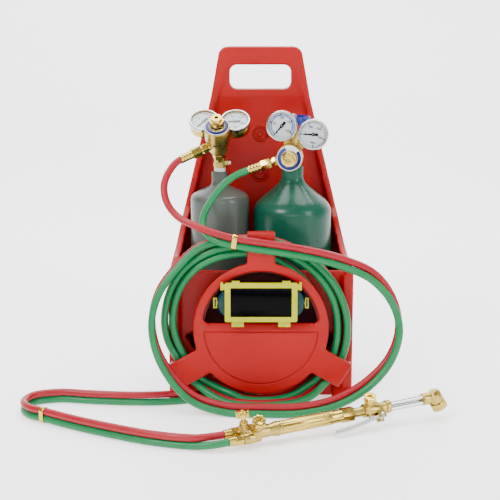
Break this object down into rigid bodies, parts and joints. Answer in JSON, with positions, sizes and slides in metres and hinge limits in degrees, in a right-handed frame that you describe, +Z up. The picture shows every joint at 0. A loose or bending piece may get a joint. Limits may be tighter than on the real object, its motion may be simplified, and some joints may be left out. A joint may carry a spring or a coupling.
{
  "type": "portable oxy-acetylene torch kit",
  "caption": "Hand-carried red plastic tote holding green oxygen and grey acetylene cylinders with brass regulators, a front hose reel, twin hose, cutting torch and goggles.",
  "frame": {"origin": "centre of the tote's base, on the ground", "axes": "+X to the right of the tote's front, +Y from the hose reel towards the back panel, +Z up"},
  "size_m": [0.6911, 0.4515, 0.5772],
  "materials": {
    "red_polyethylene": "rotationally moulded polyethylene, satin",
    "dark_red_polyethylene": "moulded polyethylene, satin",
    "zinc_steel": "zinc plated",
    "spring_steel": "bright spring wire",
    "black_rubber": "moulded rubber",
    "green_steel": "gloss green enamel",
    "grey_steel": "satin grey enamel",
    "cast_brass": "forged brass, dull",
    "turned_brass": "turned brass, bright",
    "copper": "turned copper alloy",
    "blue_paint": "gloss blue enamel on a zinc casting",
    "white_tape": "thin sealing tape",
    "printed_label": "printed label",
    "chrome": "polished plating",
    "white_dial": "printed dial",
    "clear_plastic": "clear polycarbonate",
    "black_enamel": "black enamel on thin sheet",
    "green_rubber": "satin green rubber",
    "red_rubber": "satin red rubber",
    "teal_vinyl": "translucent green vinyl",
    "yellow_plastic": "injection moulded",
    "dark_lens": "welding shade 5, glossy",
    "black_elastic": "woven elastic"
  },
  "bodies": {
    "kit": {"tote_shell": "red_polyethylene", "storage_cup": "dark_red_polyethylene", "hose_retainer": "red_polyethylene", "reel_screws": "zinc_steel", "cylinder_pads": "black_rubber", "oxygen_cylinder": "green_steel", "oxygen_cylinder_valve": "cast_brass", "regulator_bodies": "cast_brass", "regulator_bonnets": "cast_brass", "acetylene_cylinder": "grey_steel", "acetylene_cylinder_valve": "cast_brass", "thread_tape": "white_tape", "regulator_labels": "printed_label", "regulator_springs": "spring_steel", "regulator_diaphragms": "black_rubber", "inlet_nuts": "turned_brass", "outlet_bushings": "turned_brass", "gauge_stems": "cast_brass", "gauge_cases": "cast_brass", "gauge_bezels": "chrome", "gauge_dials": "white_dial", "gauge_lenses": "clear_plastic", "hose_nuts": "turned_brass", "hose_ferrules": "turned_brass", "oxygen_hose": "green_rubber", "oxygen_hose_coil": "green_rubber", "acetylene_hose": "red_rubber", "acetylene_hose_coil": "red_rubber", "hose_clips": "turned_brass", "torch_valve_block": "cast_brass", "torch_packing_nuts": "turned_brass", "torch_handle": "cast_brass", "torch_coupling_nut": "turned_brass", "cutting_body": "cast_brass", "lever_pin": "zinc_steel", "lever_spring": "spring_steel", "cutting_tubes": "chrome", "cutting_head": "cast_brass", "tip_nut": "turned_brass", "cutting_tip": "copper"},
    "oxygen_handwheel": {"oxygen_handwheel": "blue_paint", "handwheel_nut": "zinc_steel"},
    "acetylene_spindle": {"acetylene_valve_spindle": "zinc_steel"},
    "oxygen_adjusting_screw": {"oxygen_adjusting_screw": "turned_brass"},
    "acetylene_adjusting_screw": {"acetylene_adjusting_screw": "turned_brass"},
    "oxygen_supply_pointer": {"oxygen_supply_pointer": "black_enamel"},
    "oxygen_delivery_pointer": {"oxygen_delivery_pointer": "black_enamel"},
    "acetylene_supply_pointer": {"acetylene_supply_pointer": "black_enamel"},
    "acetylene_delivery_pointer": {"acetylene_delivery_pointer": "black_enamel"},
    "torch_oxygen_knob": {"torch_oxygen_knob": "turned_brass"},
    "torch_acetylene_knob": {"torch_acetylene_knob": "turned_brass"},
    "cutting_oxygen_knob": {"cutting_oxygen_knob": "turned_brass"},
    "cutting_lever": {"cutting_lever": "chrome"},
    "lever_plunger": {"lever_plunger": "zinc_steel"},
    "goggles": {"goggle_cup": "teal_vinyl", "goggle_frame": "yellow_plastic", "goggle_clear_lens": "clear_plastic", "goggle_strap": "black_elastic"},
    "goggle_lift": {"goggle_lift_frame": "yellow_plastic", "goggle_dark_lens": "dark_lens"}
  },
  "joints": [
    {"name": "oxygen_handwheel_turn", "type": "hinge", "parent": "kit", "child": "oxygen_handwheel", "pos_m": [0.0546, 0.011, 0.451], "axis": [0, 0, 1], "range_deg": [0, 1080]},
    {"name": "acetylene_spindle_turn", "type": "hinge", "parent": "kit", "child": "acetylene_spindle", "pos_m": [-0.0605, 0.011, 0.385], "axis": [1, 0, 0], "range_deg": [0, 540]},
    {"name": "oxygen_adjusting_screw_turn", "type": "hinge", "parent": "kit", "child": "oxygen_adjusting_screw", "pos_m": [0.0458, -0.08962, 0.406], "axis": [0.0872, 0.9962, 0], "range_deg": [0, 1440]},
    {"name": "acetylene_adjusting_screw_turn", "type": "hinge", "parent": "kit", "child": "acetylene_adjusting_screw", "pos_m": [-0.07259, -0.03946, 0.45209], "axis": [0.0367, 0.6007, -0.7986], "range_deg": [0, 1440]},
    {"name": "torch_oxygen_knob_turn", "type": "hinge", "parent": "kit", "child": "torch_oxygen_knob", "pos_m": [-0.00601, -0.33167, 0.03858], "axis": [0.2123, -0.6221, 0.7536], "range_deg": [0, 720]},
    {"name": "torch_acetylene_knob_turn", "type": "hinge", "parent": "kit", "child": "torch_acetylene_knob", "pos_m": [-0.02855, -0.31714, 0.04366], "axis": [-0.1218, 0.1562, 0.9802], "range_deg": [0, 720]},
    {"name": "cutting_oxygen_knob_turn", "type": "hinge", "parent": "kit", "child": "cutting_oxygen_knob", "pos_m": [0.16847, -0.249, 0.04702], "axis": [0.0964, -0.3654, 0.9258], "range_deg": [0, 720]},
    {"name": "cutting_lever_press", "type": "hinge", "parent": "kit", "child": "cutting_lever", "pos_m": [0.18774, -0.24723, 0.01998], "axis": [-0.201, 0.5979, -0.776], "range_deg": [0, 5.47], "stiffness_Nm_per_rad": 0.6, "springref_deg": -14.32},
    {"name": "lever_plunger_slide", "type": "slide", "parent": "kit", "child": "lever_plunger", "axis": [-0.3276, 0.7055, 0.6284], "range_m": [-0.00005, 0.0015], "deforming": ["lever_spring"]},
    {"name": "goggles_pull_out", "type": "slide", "parent": "kit", "child": "goggles", "axis": [0, -1, 0], "range_m": [0, 0.12]},
    {"name": "goggle_lift_turn", "type": "hinge", "parent": "goggles", "child": "goggle_lift", "pos_m": [0, -0.1347, 0.2035], "axis": [-1, 0, 0], "range_deg": [0, 90]},
    {"name": "oxygen_delivery_pointer_turn", "type": "hinge", "parent": "kit", "child": "oxygen_delivery_pointer", "pos_m": [0.0342, -0.05929, 0.4555], "axis": [0.0872, 0.9962, 0], "range_deg": [0, 270], "stiffness_Nm_per_rad": 0.0005},
    {"name": "oxygen_supply_pointer_turn", "type": "hinge", "parent": "kit", "child": "oxygen_supply_pointer", "pos_m": [0.08525, -0.06376, 0.44177], "axis": [0.0872, 0.9962, 0], "range_deg": [0, 270], "stiffness_Nm_per_rad": 0.0005},
    {"name": "acetylene_delivery_pointer_turn", "type": "hinge", "parent": "kit", "child": "acetylene_delivery_pointer", "pos_m": [-0.09584, 0.01489, 0.45533], "axis": [0.0367, 0.6007, -0.7986], "range_deg": [0, 270], "stiffness_Nm_per_rad": 0.0005},
    {"name": "acetylene_supply_pointer_turn", "type": "hinge", "parent": "kit", "child": "acetylene_supply_pointer", "pos_m": [-0.04289, 0.01165, 0.45533], "axis": [0.0367, 0.6007, -0.7986], "range_deg": [0, 270], "stiffness_Nm_per_rad": 0.0005}
  ],
  "couplings": [
    {"joint": "lever_plunger_slide", "follows": "cutting_lever_press", "m_per_rad": 0.015}
  ]
}
